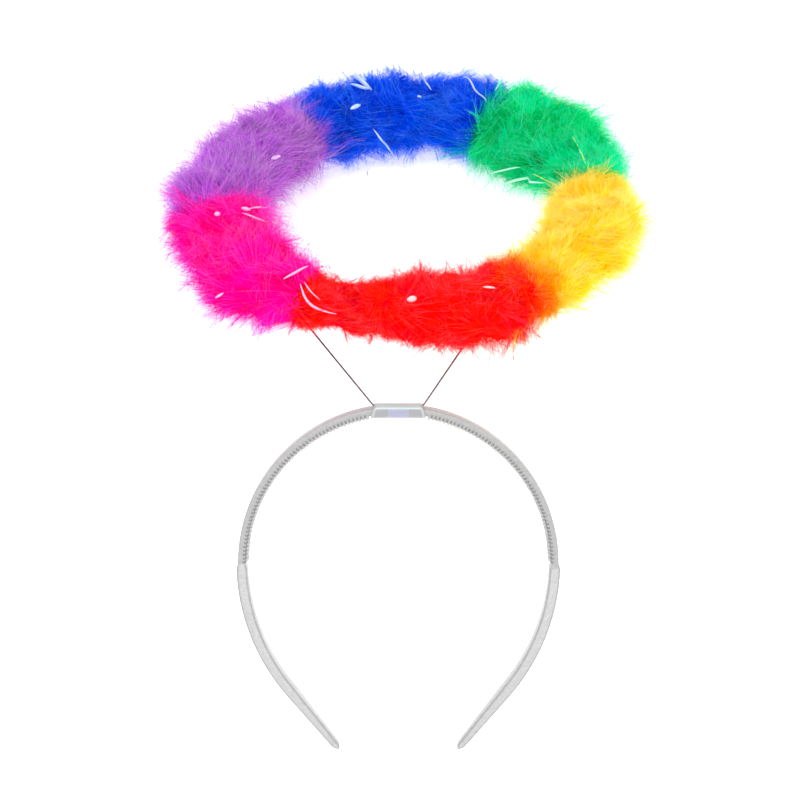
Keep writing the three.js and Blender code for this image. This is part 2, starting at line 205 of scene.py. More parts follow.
def camera():
    """The photo's view."""
    data = bpy.data.cameras.new("camera")
    data.lens = CAMERA_LENS
    data.sensor_width = CAMERA_SENSOR
    data.clip_start = CAMERA_NEAR
    made = bpy.data.objects.new("camera", data)
    bpy.context.scene.collection.objects.link(made)
    place = np.eye(4)
    place[:3, :3] = np.array([ACROSS, VIEW_UP, VIEW_TOWARD]).T
    place[:3, 3] = VIEW_PLACE
    made.matrix_world = Matrix(place.tolist())
    bpy.context.scene.camera = made


def area_light(name, place, size, power):
    data = bpy.data.lights.new(name, "AREA")
    data.shape = "DISK"
    data.size = size
    data.energy = power
    made = bpy.data.objects.new(name, data)
    bpy.context.scene.collection.objects.link(made)
    made.location = place
    made.rotation_euler = (Vector(LIGHT_TARGET) - Vector(place)).to_track_quat("-Z", "Y").to_euler()


def studio():
    """A soft, bright studio."""
    world = bpy.data.worlds.new("studio")
    world.use_nodes = True
    background = world.node_tree.nodes["Background"]
    background.inputs["Color"].default_value = (1.0, 1.0, 1.0, 1.0)
    background.inputs["Strength"].default_value = WORLD_STRENGTH
    bpy.context.scene.world = world
    for name, (place, size, power) in LIGHTS.items():
        area_light(name, place, size, power)
    bpy.context.scene.view_settings.view_transform = "Standard"


# Meshes and materials

def new_material(name):
    """A material without nodes, its nodes and its links."""
    made = bpy.data.materials.new(name)
    made.use_nodes = True
    nodes = made.node_tree.nodes
    nodes.clear()
    return made, nodes, made.node_tree.links


def mesh_object(name, points, loops, counts, uvs=None, smooth=False):
    """A mesh from flat arrays: points (n, 3), the corners' vertices, and how many corners each face has."""
    mesh = bpy.data.meshes.new(name)
    mesh.vertices.add(len(points))
    mesh.vertices.foreach_set("co", np.ascontiguousarray(points, np.float32).ravel())
    mesh.loops.add(len(loops))
    mesh.loops.foreach_set("vertex_index", np.ascontiguousarray(loops, np.int32))
    mesh.polygons.add(len(counts))
    starts = np.concatenate([[0], np.cumsum(counts)[:-1]])
    mesh.polygons.foreach_set("loop_start", starts.astype(np.int32))
    mesh.polygons.foreach_set("use_smooth", np.full(len(counts), smooth))
    if uvs is not None:
        layer = mesh.uv_layers.new(name=UV_NAME)
        layer.uv.foreach_set("vector", np.ascontiguousarray(uvs, np.float32).ravel())
    mesh.update(calc_edges=True)
    made = bpy.data.objects.new(name, mesh)
    bpy.context.scene.collection.objects.link(made)
    return made


def floor():
    """A plain white floor that glows a little, so that it shows as white as the photo's ground."""
    corners = FLOOR_HALF * np.array([[-1, -1, 0], [1, -1, 0], [1, 1, 0], [-1, 1, 0]])
    made = mesh_object("floor", corners, np.arange(4), np.array([4]))
    material, nodes, links = new_material("floor_white")
    shader = nodes.new("ShaderNodeBsdfPrincipled")
    shader.inputs["Base Color"].default_value = (FLOOR_SHADE, FLOOR_SHADE, FLOOR_SHADE, 1.0)
    shader.inputs["Roughness"].default_value = 0.8
    shader.inputs["Emission Color"].default_value = (1.0, 1.0, 1.0, 1.0)
    shader.inputs["Emission Strength"].default_value = FLOOR_GLOW
    output = nodes.new("ShaderNodeOutputMaterial")
    links.new(shader.outputs[0], output.inputs[0])
    made.data.materials.append(material)


camera()
studio()
floor()


# Skins

def skin(rings, loop=False):
    """The closed skin over rings of points (n, m, 3), as points, the faces' corners and how many each has."""
    n, m, _ = rings.shape
    spans = n if loop else n - 1
    i = np.arange(spans)[:, None] * m
    after = (np.arange(spans)[:, None] + 1) % n * m
    j = np.arange(m)[None]
    k = (j + 1) % m
    loops = np.stack([i + j, i + k, after + k, after + j], -1).reshape(-1)
    counts = np.full(spans * m, 4)
    if not loop:
        loops = np.concatenate([loops, np.arange(m)[::-1], (n - 1) * m + np.arange(m)])
        counts = np.concatenate([counts, [m, m]])
    return rings.reshape(-1, 3), loops, counts


def stacked(skins):
    """Several skins as one."""
    shift = np.cumsum([0] + [len(s[0]) for s in skins[:-1]])
    return (
        np.concatenate([s[0] for s in skins]),
        np.concatenate([s[1] + d for s, d in zip(skins, shift)]),
        np.concatenate([s[2] for s in skins]),
    )


# Headband, sleeve and wires

def worn_heights(points):
    """How far points are over the middle of the band's arc, in millimetres."""
    return (points - BAND_MIDDLE) @ BAND_UP / MM


def rounded(half_out, half_back, radius, steps=SECTION_POINTS // 4 - 1):
    """The outline of a rounded rectangle, as (out, back) pairs."""
    radius = min(radius, half_out * 0.98, half_back * 0.98)
    corners = []
    for index, (a, b) in enumerate([(1, 1), (-1, 1), (-1, -1), (1, -1)]):
        turns = np.radians(90 * index + np.linspace(0, 90, steps + 1))
        corners.append(
            np.stack([a * (half_out - radius) + radius * np.cos(turns),
                      b * (half_back - radius) + radius * np.sin(turns)], -1)
        )
    return np.concatenate(corners)


def band_stations():
    """The right half of the band's middle line: place, way out, half the thickness and half the width."""
    inner = BAND_RADIUS - BAND_THICKNESS
    middle = BAND_RADIUS - BAND_THICKNESS / 2
    flat_thickness = BAND_THICKNESS * math.cos(FLAT_TURN)
    flat_height = inner * math.cos(FLAT_TURN) + flat_thickness / 2
    stations = [((x, flat_height), (0.0, 1.0), flat_thickness / 2) for x in (0.0, FLAT_HALF - BEND_BEFORE)]
    for turn in np.linspace(FLAT_TURN + BEND_AFTER, math.pi / 2, ARC_STEPS):
        out = (math.sin(turn), math.cos(turn))
        stations.append(((middle * out[0], middle * out[1]), out, BAND_THICKNESS / 2))
    for turn in np.linspace(0, LEG_TURN, LEG_STEPS)[1:]:
        out = (math.cos(turn), -math.sin(turn))
        place = (middle - LEG_RADIUS * (1 - out[0]), LEG_RADIUS * out[1])
        swell = min(turn / LEG_SWELL, 1.0)
        swell = swell * swell * (3 - 2 * swell)
        thickness = BAND_THICKNESS + (LEG_THICKNESS - BAND_THICKNESS) * swell
        stations.append((place, out, thickness / 2))
    (x, z), out, _ = stations[-1]
    for share in np.linspace(0, 1, TAPER_STEPS)[1:]:
        half = (LEG_THICKNESS + (TIP_THICKNESS - LEG_THICKNESS) * share) / 2
        along = LEG_STRAIGHT * share
        stations.append(((x + along * out[1], z - along * out[0]), out, half))
    (x, z), out, half = stations[-1]
    low = z - TIP_POINT
    for turn in TIP_TURNS:
        along = TIP_POINT * math.sin(turn)
        stations.append(((x + along * out[1], z - along * out[0]), out, half * math.cos(turn)))
    heights = [low, low + TIP_POINT, low + TIP_TAPER]
    widths = [(TIP_WIDTH - TIP_POINT) / 2, TIP_WIDTH / 2, BAND_WIDTH / 2]
    return [(place, out, half, np.interp(place[1], heights, widths)) for place, out, half in stations]


def band_body():
    """The band without its comb, from tip to tip."""
    right = band_stations()
    left = [((-x, z), (-a, b), half, width) for (x, z), (a, b), half, width in right[:0:-1]]
    rings = []
    for (x, z), (a, b), half, width in left + right:
        section = rounded(half, width, LEG_ROUND if z < 0 else ARC_ROUND)
        out, back = section.T
        rings.append(np.stack([x + out * a, back, z + out * b], -1))
    return skin(worn(np.array(rings)))


def comb_bar(shape, half_width, turn, side):
    """A bar across the band at a turn from its top, with half its outline given along the arc and inward."""
    out = np.array([side * math.sin(turn), math.cos(turn)])
    along = np.array([math.cos(turn), -side * math.sin(turn)])
    profile = np.concatenate([shape, shape[::-1] * [-1, 1]])
    flat = (BAND_RADIUS - BAND_THICKNESS - profile[:, 1:]) * out + profile[:, :1] * along
    ends = (-half_width, half_width)
    return skin(worn([np.stack([flat[:, 0], np.full(len(flat), end), flat[:, 1]], -1) for end in ends]))


def comb():
    """The teeth along the inside of the arc, from the sleeve to the legs, and the shadows at their roots."""
    pitch = TOOTH_PITCH / (BAND_RADIUS - BAND_THICKNESS)
    room = math.pi / 2 - FLAT_TURN
    count = int(room / pitch)
    first = FLAT_TURN + (room - count * pitch) / 2
    ribs, roots = [], []
    for side in (-1, 1):
        for i in range(count):
            ribs.append(comb_bar(TOOTH, COMB_WIDTH / 2, first + (i + 0.5) * pitch, side))
            # dark bars that paint the shadow between the teeth at their roots
            roots.append(comb_bar(TOOTH_ROOT_SHADOW, BAND_WIDTH / 2 + ROOT_SKIN, first + (i + 1) * pitch, side))
    return stacked(ribs), stacked(roots)


def film_section(wall, bottom, shoulder):
    """The outline of the sleeve this far outside its inner face, as (back, up) pairs."""
    half = BAND_WIDTH / 2 + FILM_GAP + wall
    turns = np.radians(np.linspace(0, 180, DOME_POINTS))
    back = np.sign(np.cos(turns)) * np.abs(np.cos(turns)) ** FILM_DOME_POWER * half
    dome = np.stack([back, shoulder + (FILM_DOME + wall) * np.sin(turns)], -1)
    low = bottom - wall
    base = [(-half, low + FILM_ROUND), (-half + FILM_CHAMFER, low + FILM_CHAMFER), (-half + FILM_ROUND, low)]
    return np.concatenate([dome, base, [(-x, z) for x, z in base[::-1]]])


def film():
    """The clear sleeve: a thin wall, flat underneath and domed over the wire, that leans in at its ends."""
    bottom = (BAND_RADIUS - BAND_THICKNESS) * math.cos(FLAT_TURN) - FILM_GAP
    shoulder = FLAT_TOP + FILM_LIFT
    low, high = bottom - FILM_WALL, shoulder + FILM_DOME + FILM_WALL
    shares = np.linspace(-1, 1, FILM_STEPS)
    rings = []
    for wall, places in [(FILM_WALL, shares), (0.0, shares[::-1])]:
        back, up = film_section(wall, bottom, shoulder).T
        for place in places:
            end = FILM_LENGTH / 2 - FILM_SLANT * (up - low) / (high - low)
            rings.append(np.stack([place * end, back, up], -1))
    return skin(worn(rings), loop=True)


def tube(points, radius, sides=WIRE_SIDES, loop=False):
    """A round bar along points in metres, with one radius or one for each point."""
    n = len(points)
    if loop:
        ways = np.roll(points, -1, 0) - np.roll(points, 1, 0)
    else:
        ways = np.gradient(points, axis=0)
    ways = unit(ways)
    side = unit(np.cross(ways[0], ways[min(n // 2, n - 1)] + TURNED))
    rings = []
    turns = np.linspace(0, 2 * math.pi, sides, endpoint=False)[:, None]
    for point, way, reach in zip(points, ways, np.broadcast_to(radius, n)):
        side = unit(side - way * (side @ way))
        other = np.cross(way, side)
        rings.append(point + reach * (np.cos(turns) * side + np.sin(turns) * other))
    return skin(np.array(rings), loop=loop)


def ring_point(angle):
    """The place of the ring wire at this many degrees from its front, and its way there."""
    out, along, _ = ring_axes(np.radians(angle))
    return RING_MIDDLE + RING_RADIUS * MM * out, along


def support_wire():
    """The wire under the sleeve, its two legs and their eyes round the ring wire."""
    height = FLAT_TOP + WIRE_GAP + WIRE_RADIUS
    eye_radius = (RING_WIRE_RADIUS + WIRE_GAP + WIRE_RADIUS) * MM
    halves, eyes = [], []
    for side, angle in ((-1, LEFT_EYE), (1, RIGHT_EYE)):
        corner = worn([side * (FILM_LENGTH / 2 - FILM_SLANT + WIRE_RADIUS), 0, height])
        eye, along = ring_point(angle)
        way = eye - corner
        way = unit(way - along * (way @ along))
        end = eye - eye_radius * way
        bend_start = corner - side * WIRE_BEND * MM * ACROSS
        bend_end = corner + WIRE_BEND * MM * unit(end - corner)
        t = np.linspace(0, 1, BEND_POINTS)[:, None]
        bend = (1 - t) ** 2 * bend_start + 2 * t * (1 - t) * corner + t**2 * bend_end
        halves.append(np.concatenate([bend, [end]]))
        turns = np.linspace(0, 2 * math.pi, EYE_POINTS, endpoint=False)[:, None]
        circle = eye + eye_radius * (np.cos(turns) * way + np.sin(turns) * np.cross(along, way))
        eyes.append(tube(circle, WIRE_RADIUS * MM, loop=True))
    left, right = halves
    return stacked([tube(np.concatenate([left[::-1], right]), WIRE_RADIUS * MM), *eyes])


def ring_wire():
    """The closed wire inside the feathers."""
    points = ring_point(np.linspace(0, 360, RING_POINTS, endpoint=False))[0]
    return tube(points, RING_WIRE_RADIUS * MM, loop=True)


def piece(name, parts, material, node):
    """A piece of the scene in the place of a CAD node, kept over the floor."""
    points, loops, counts = parts
    points[:, 2] = np.maximum(points[:, 2], 0.0)
    made = mesh_object(name, points, loops, counts, smooth=True)
    made.data.materials.append(material)
    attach(made, "root")
    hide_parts(node)
    return made


# Feathers

# the tones from dark barbs to light are partly the dye's own patches and partly painted shade and painted
# highlights
TONES = 24  # columns of the feathers' colour chart, from the dark barbs to the light ones
COLUMN_MARGIN = 0.1  # left free at both sides of a column, as a share of it, and at both ends of the rows
ROW_MARGIN = 0.02
QUALITY = 1.0
TRIM_SEED = 700
RIBBON_RNG = np.random.default_rng(77)
DOWN, QUILL, FRINGE, BLEND = range(4)  # the materials of a trim

# Strands to each degree of the ring, and the points along each
DOWN_DENSITY, DOWN_POINTS = 440, 3
BARB_DENSITY, BARB_POINTS = 130, 4
WISP_DENSITY, WISP_POINTS = 66, 5

# How strands lie
STRAY_ROOM = 12 * MM  # how far past the solids a loose strand may reach
FLOOR_SKIN = 0.5 * MM  # how high strands that meet the floor lie, and how much of their depth piles up on it
FLOOR_PILE = 0.1
CUT_STEPS, CUT = 12, 0.85  # how often a strand is cut back, and what each cut leaves of it
END_SCATTER = 1.2  # in degrees
END_LEAN = 1.3
END_LEAN_REACH = math.radians(4)
STRAND_LENGTHS = (2.5, 20)  # in millimetres
COARSEST_WAVE = 8
ANY_PHASE = (0, 6.3)
WAVE_PEAK = 1.6  # how far a field of waves swings, over its root mean square

# The feathers whose barbs show: how many to each degree, and the turn from one to the next
PLUME_DENSITY = 1.8
PLUME_TURN = 2.399963

# The dense core: its share of the fullness, its mesh, and how it is drawn in at the ends of a trim
CORE_SHARE = 0.72
CORE_ROWS = 70  # to each radian
CORE_COLUMNS = 36
CORE_INSET = 0.006
CORE_TAPER = math.radians(1.6)

QUILL_SHARE = 1.04  # where the bare shafts lie, as a share of the trim's fullness
SIGHT = np.linspace(0.7, 1.1, 8001)  # how far from the camera they are looked for, in metres
QUILL_POINTS = 13
QUILL_SIDES = 6
FRINGE_SHARE = 1.15  # past which a strand's tip counts as loose fringe
FRINGE_SPREAD = 0.08
FRINGE_ALPHA = (1.0, 0.92, 0.75, 0.45)  # from root to tip
BLEND_STRENGTH = 1.5  # over 1, the middle of a blend is all of it
CORE_BLEND = 0.8  # the share of a blend from which the core takes its colour
FEATHER_ROUGHNESS = 0.9
THROUGH_SHARE = 0.45  # how much of the light that meets a strand goes through it

# How full the trim is round the ring: degrees from the front, then shares of the section outward and inward
FULLNESS = np.array([
    (0, 0.66, 0.95), (12, 0.90, 0.82), (24, 1.08, 0.74), (36, 0.78, 0.76), (48, 0.69, 0.74),
    (60, 0.86, 0.76), (72, 0.96, 0.78), (84, 1.03, 0.76), (96, 0.81, 0.68), (108, 0.92, 0.74),
    (120, 1.18, 0.89), (132, 1.40, 0.99), (144, 1.20, 1.16), (156, 1.18, 0.78), (168, 0.97, 0.76),
    (180, 1.10, 0.95), (192, 0.95, 0.97), (204, 0.93, 1.01), (216, 0.83, 0.84), (228, 0.82, 0.88),
    (240, 0.84, 0.91), (252, 0.88, 0.84), (264, 1.02, 0.80), (276, 0.94, 0.81), (288, 1.04, 0.82),
    (300, 1.00, 0.78), (312, 1.30, 0.71), (324, 0.88, 0.61), (336, 0.59, 0.52), (348, 0.51, 0.59),
])

# The six lengths of trim: their ends in degrees round the ring, the colours at the roots and the tips of
# their strands from the darkest barb to the lightest, and those of the loose fringe from root to tip. Where
# two colours of trim are blended, the middle of the blend and how far it reaches are in degrees.
TRIMS = {
    "red": {
        "ends": (-31, 38.5),
        "roots": ((0.80, 0.0, 0.03), (0.95, 0.0, 0.0), (1.0, 0.003, 0.0), (1.0, 0.02, 0.0)),
        "tips": ((0.95, 0.0, 0.06), (1.0, 0.0, 0.004), (1.0, 0.01, 0.0), (1.0, 0.04, 0.015)),
        "fringe": ((1.0, 0.0, 0.0), (1.0, 0.01, 0.01), (1.0, 0.06, 0.08), (0.95, 0.25, 0.32)),
        "quill": (0.92, 0.58, 0.62),
        "strays": 0.6,
        "blend": (42, 15),
        "blend_roots": ((1.0, 0.02, 0.0), (1.0, 0.05, 0.0), (1.0, 0.09, 0.0), (1.0, 0.15, 0.0)),
        "blend_tips": ((1.0, 0.05, 0.0), (1.0, 0.10, 0.0), (1.0, 0.18, 0.01), (1.0, 0.40, 0.12)),
    },
    "yellow": {
        "ends": (36, 98),
        "roots": ((1.0, 0.64, 0.0), (1.0, 0.73, 0.0), (1.0, 0.80, 0.0), (1.0, 0.84, 0.10)),
        "tips": ((1.0, 0.72, 0.0), (1.0, 0.82, 0.0), (1.0, 0.88, 0.10), (1.0, 0.94, 0.50)),
        "fringe": ((1.0, 0.68, 0.0), (1.0, 0.74, 0.03), (1.0, 0.80, 0.18), (0.95, 0.82, 0.45)),
        "quill": (0.50, 0.36, 0.20),
        "strays": 0.8,
        "blend": (36, 9),
        "blend_roots": ((1.0, 0.20, 0.0), (1.0, 0.32, 0.0), (1.0, 0.45, 0.0), (1.0, 0.56, 0.0)),
        "blend_tips": ((1.0, 0.30, 0.0), (1.0, 0.45, 0.0), (1.0, 0.60, 0.02), (1.0, 0.74, 0.20)),
    },
    "green": {
        "ends": (97, 152),
        "roots": ((0.0, 0.22, 0.02), (0.0, 0.48, 0.09), (0.0, 0.68, 0.19), (0.0, 0.78, 0.34)),
        "tips": ((0.0, 0.56, 0.09), (0.0, 0.88, 0.25), (0.0, 1.0, 0.48), (0.0, 1.0, 0.76)),
        "fringe": ((0.0, 0.60, 0.20), (0.0, 0.74, 0.30), (0.05, 0.80, 0.46), (0.25, 0.85, 0.66)),
        "quill": (0.42, 0.85, 0.68),
        "strays": 0.7,
    },
    "blue": {
        "ends": (151, 216),
        "roots": ((0.0, 0.008, 0.30), (0.0, 0.03, 0.60), (0.0, 0.06, 0.80), (0.0, 0.10, 0.95)),
        "tips": ((0.0, 0.03, 0.60), (0.0, 0.08, 0.90), (0.0, 0.15, 1.0), (0.0, 0.30, 1.0)),
        "fringe": ((0.0, 0.06, 0.80), (0.0, 0.09, 0.92), (0.04, 0.22, 0.96), (0.25, 0.50, 0.96)),
        "quill": (0.50, 0.64, 0.88),
        "strays": 1.0,
    },
    "purple": {
        "ends": (215, 277),
        "roots": ((0.13, 0.01, 0.19), (0.42, 0.06, 0.58), (0.58, 0.06, 0.78), (0.68, 0.24, 0.86)),
        "tips": ((0.34, 0.08, 0.48), (0.70, 0.23, 0.93), (0.86, 0.14, 1.0), (0.92, 0.58, 1.0)),
        "fringe": ((0.48, 0.10, 0.64), (0.54, 0.14, 0.70), (0.55, 0.28, 0.66), (0.60, 0.48, 0.62)),
        "quill": (0.85, 0.72, 0.92),
        "strays": 2.2,
    },
    "pink": {
        "ends": (276, 330),
        "roots": ((0.92, 0.0, 0.13), (1.0, 0.0, 0.32), (1.0, 0.0, 0.50), (1.0, 0.0, 0.60)),
        "tips": ((1.0, 0.0, 0.24), (1.0, 0.0, 0.46), (1.0, 0.0, 0.60), (1.0, 0.01, 0.70)),
        "fringe": ((1.0, 0.0, 0.42), (1.0, 0.01, 0.48), (1.0, 0.06, 0.56), (0.95, 0.28, 0.66)),
        "quill": (0.95, 0.42, 0.66),
        "strays": 1.2,
    },
}

# Bare shafts that show between the barbs: the trim, the width in millimetres, and the pixels of the photo
# (from its left and from its top) that each runs through
QUILLS = [
    ("blue", 2.2, [(348, 71), (371, 90)]),
    ("blue", 1.6, [(350, 84), (371, 88)]),
    ("blue", 1.4, [(353, 76), (366, 80)]),
    ("blue", 2.0, [(350, 109), (360, 105)]),
    ("blue", 1.0, [(373, 129), (383, 142), (393, 155)]),
    ("blue", 0.9, [(418, 74), (425, 82), (431, 90)]),
    ("blue", 0.8, [(463, 77), (474, 89), (486, 101)]),
    ("blue", 1.0, [(502, 78), (495, 90)]),
    ("blue", 1.0, [(417, 96), (421, 97)]),
    ("purple", 1.6, [(271, 159), (280, 156)]),
    ("pink", 2.0, [(214, 214), (220, 214)]),
    ("pink", 1.6, [(241, 208), (250, 210)]),
    ("pink", 0.8, [(248, 209), (258, 207.5), (267, 207)]),
    ("pink", 0.9, [(242, 213), (255, 218), (266, 222)]),
    ("pink", 1.1, [(283, 279), (296, 272), (308, 266)]),
    ("pink", 0.9, [(215, 298), (223, 293)]),
    ("pink", 1.0, [
        (300, 284), (302, 290), (304, 296), (307, 301), (312, 306), (318, 309), (324, 311), (336, 314),
    ]),
    ("pink", 0.6, [(304, 282), (307, 287), (311, 292), (320, 300)]),
    ("red", 2.6, [(407, 300), (416, 298)]),
    ("red", 0.9, [(483, 287), (495, 288)]),
    ("green", 1.2, [(488, 174), (502, 177.5), (516, 180), (530, 182), (544, 183)]),
    ("green", 0.9, [(488, 174), (504, 170), (520, 167)]),
    ("yellow", 0.5, [(514, 221), (524, 228), (537, 241)]),
]


def section_place(points):
    """Where points lie: the angle round the ring, and the shares of the section out and across."""
    offset = points - RING_MIDDLE
    x = offset @ ACROSS
    y = offset @ RING_BACK
    angles = np.arctan2(x, -y)
    out = (np.hypot(x, y) / MM - RING_RADIUS) / FLUFF_HALF_WIDTH
    across = offset @ RING_AXIS / MM / FLUFF_HALF_HEIGHT
    return angles, out, across


def from_section(angles, out, across):
    """The points at these places, in metres in the row frame."""
    ways, _, axis = ring_axes(angles)
    radius = (RING_RADIUS + out * FLUFF_HALF_WIDTH) * MM
    return RING_MIDDLE + radius[..., None] * ways + (across * FLUFF_HALF_HEIGHT * MM)[..., None] * axis


def fullness(angles, turns):
    """How far the trim reaches at places round the ring and round its section, as a share of the section."""
    degrees = np.degrees(angles) % 360
    outward, inward = (np.interp(degrees, FULLNESS[:, 0], FULLNESS[:, i], period=360) for i in (1, 2))
    toward = (1 + np.cos(turns)) / 2
    lumps = 0.06 * np.sin(17 * angles + 2 * turns + 1.0) + 0.05 * np.sin(29 * angles - 3 * turns)
    return outward * toward + inward * (1 - toward) + lumps


def section_depth(turns):
    """How far the section's edge is from its middle, in millimetres."""
    return np.hypot(FLUFF_HALF_WIDTH * np.cos(turns), FLUFF_HALF_HEIGHT * np.sin(turns))


def settled(lines, reach):
    """The strands cut back to their reach and the part's room, and laid out flat over the floor."""
    low, high = np.array(CAD_BOX[0]) - STRAY_ROOM, np.array(CAD_BOX[1]) + STRAY_ROOM
    low[2] = -math.inf  # the floor is met below
    for _ in range(CUT_STEPS):
        angles, out, across = section_place(lines[:, -1])
        over = np.hypot(out, across) > reach * fullness(angles, np.arctan2(across, out))
        over |= np.any((lines < low) | (lines > high), axis=(1, 2))
        lines[over] = lines[over, :1] + CUT * (lines[over] - lines[over, :1])
    height = lines[..., 2]
    laid = FLOOR_SKIN + (FLOOR_PILE * (FLOOR_SKIN - height)) % (2 * FLOOR_SKIN)
    lines[..., 2] = np.where(height < FLOOR_SKIN, laid, height)
    return lines


def waves(rng, angles, turns, finest=34, count=7):
    """A smooth field over the trim, about -1 to 1, the same for strands that stand together."""
    total = np.zeros(np.broadcast(angles, turns).shape)
    for _ in range(count):
        ring, section = rng.uniform(COARSEST_WAVE, finest), rng.integers(-4, 5)
        total = total + np.sin(ring * angles + section * turns + rng.uniform(*ANY_PHASE))
    return total / math.sqrt(count / 2) / WAVE_PEAK


def ribbons(lines, width, tones, taper):
    """Thin strips along lines (n, k, 3) that taper to a point, each in one column of the colour chart."""
    n, k, _ = lines.shape
    steps = np.linspace(0, 1, k)
    ways = lines[:, -1] - lines[:, 0]
    sides = unit(np.cross(ways, RIBBON_RNG.normal(0, 1, (n, 3))))
    half = (width[:, None] * (1 - taper * steps[:-1]) / 2)[..., None] * sides[:, None]
    pairs = np.stack([lines[:, :-1] - half, lines[:, :-1] + half], 2).reshape(n, 2 * (k - 1), 3)
    points = np.concatenate([pairs, lines[:, -1:]], 1).reshape(-1, 3)
    size = 2 * k - 1
    corners = []
    marks = []
    for i in range(k - 2):
        corners += [2 * i, 2 * i + 1, 2 * i + 3, 2 * i + 2]
        marks += [(0, i), (1, i), (1, i + 1), (0, i + 1)]
    corners += [2 * k - 4, 2 * k - 3, 2 * k - 2]
    marks += [(0, k - 2), (1, k - 2), (0.5, k - 1)]
    marks = np.array(marks, float)
    loops = (np.arange(n)[:, None] * size + np.array(corners)).ravel()
    counts = np.tile([4] * (k - 2) + [3], n)
    columns = np.clip((tones * TONES).astype(int), 0, TONES - 1)[:, None]
    columns = (columns + COLUMN_MARGIN + (1 - 2 * COLUMN_MARGIN) * marks[:, 0]) / TONES
    rows = np.broadcast_to(ROW_MARGIN + (1 - 2 * ROW_MARGIN) * marks[:, 1] / (k - 1), columns.shape)
    return points, loops, counts, np.stack([columns, rows], -1).reshape(-1, 2)


def joined(parts):
    """Several (points, loops, counts, uvs) sets as one."""
    return (*stacked([p[:3] for p in parts]), np.concatenate([p[3] for p in parts]))


def section_ways(angles, turns):
    """The ways out of the section, round it and along the ring."""
    out, along, axis = ring_axes(angles)
    cosine, sine = np.cos(turns)[..., None], np.sin(turns)[..., None]
    away = unit(cosine / FLUFF_HALF_WIDTH * out + sine / FLUFF_HALF_HEIGHT * axis)
    return away, np.cross(along, away), along


def strands(base, ways, length, curl, points, reach):
    """Lines of soft strands from their roots: straight at first, then drawn over to the side."""
    steps = np.linspace(0, 1, points)
    lines = (
        base[:, None]
        + (length[:, None] * steps)[..., None] * ways[:, None]
        + (length[:, None] * steps**2)[..., None] * curl[:, None]
    )
    return settled(lines, reach)


def turned_in(angles, trim):
    """How far strands near an end of the trim lean back over it."""
    start, end = np.radians(trim["ends"])
    near_start = np.exp(-np.maximum(angles - start, 0) / END_LEAN_REACH)
    near_end = np.exp(-np.maximum(end - angles, 0) / END_LEAN_REACH)
    return END_LEAN * (near_start - near_end)


def clumped(rng, trim, count, roots, tips, sideways, loose):
    """Strands that lean together in tufts, from one share of the trim's fullness to another."""
    angles = np.radians(rng.uniform(*trim["ends"], count) + rng.normal(0, END_SCATTER, count))
    turns = rng.uniform(0, 2 * math.pi, count)
    away, around, along = section_ways(angles, turns)
    lean = sideways * waves(rng, angles, turns, 30) + turned_in(angles, trim)
    swirl = sideways * waves(rng, angles, turns, 30)
    jitter = rng.normal(0, loose, (count, 3))
    ways = unit(away + lean[:, None] * along + swirl[:, None] * around + jitter)
    full = fullness(angles, turns)
    share = rng.uniform(*roots, count) * full
    tufts = (0.08 + 0.06 * trim["strays"]) * waves(rng, angles, turns, 70)
    locks = 0.07 * trim["strays"] * waves(rng, angles, turns, 24)
    tip = (tips[0] + (tips[1] - tips[0]) * rng.beta(1.6, 2.2, count)) * (1 + tufts + locks)
    base = from_section(angles, share * np.cos(turns), share * np.sin(turns))
    rise = np.maximum(np.sum(ways * away, -1), 0.4)
    length = np.clip((tip * full - share) * section_depth(turns) / rise, *STRAND_LENGTHS) * MM
    sweep = 0.35 * (lean[:, None] * along + swirl[:, None] * around) + rng.normal(0, 0.12, (count, 3))
    return angles, turns, base, ways, length, sweep


def down(rng, trim, count):
    """The soft body of the trim."""
    angles, turns, base, ways, length, sweep = clumped(
        rng, trim, count, roots=(0.45, 0.8), tips=(0.78, 1.08), sideways=1.3, loose=0.22
    )
    tone = 0.5 + 0.42 * waves(rng, angles, turns, 24) + 0.30 * waves(rng, angles, turns, 60)
    tone = tone + rng.normal(0, 0.1, count)
    lines = strands(base, ways, length, sweep, DOWN_POINTS, reach=rng.uniform(1.0, 1.25, count))
    return ribbons(lines, rng.uniform(0.14, 0.32, count) * MM, tone, taper=0.6)


def plumes(rng, trim, count):
    """Feathers bound to the ring wire: roots, lengths, ways, bends, the sides of their barbs, and tones."""
    start, end = np.radians(trim["ends"])
    angles = start + (end - start) * (np.arange(count) + rng.uniform(0, 1, count)) / count
    turns = np.arange(count) * PLUME_TURN + rng.normal(0, 0.3, count)
    away, around, along = section_ways(angles, turns)
    leans = rng.normal(0, 0.7, count) + turned_in(angles, trim)
    shafts = unit(away + leans[:, None] * along + rng.normal(0, 0.5, count)[:, None] * around)
    bends = rng.normal(0, 0.35, (count, 3))
    sides = unit(np.cross(shafts, away + rng.normal(0, 0.4, (count, 3))))
    rise = np.maximum(np.sum(shafts * away, -1), 0.5)
    lengths = section_depth(turns) * fullness(angles, turns) * rng.uniform(0.72, 0.98, count) / rise * MM
    roots = from_section(angles, 0.1 * np.cos(turns), 0.1 * np.sin(turns))
    return roots, lengths, shafts, bends, sides, 0.6 + 0.5 * waves(rng, angles, turns, 60)


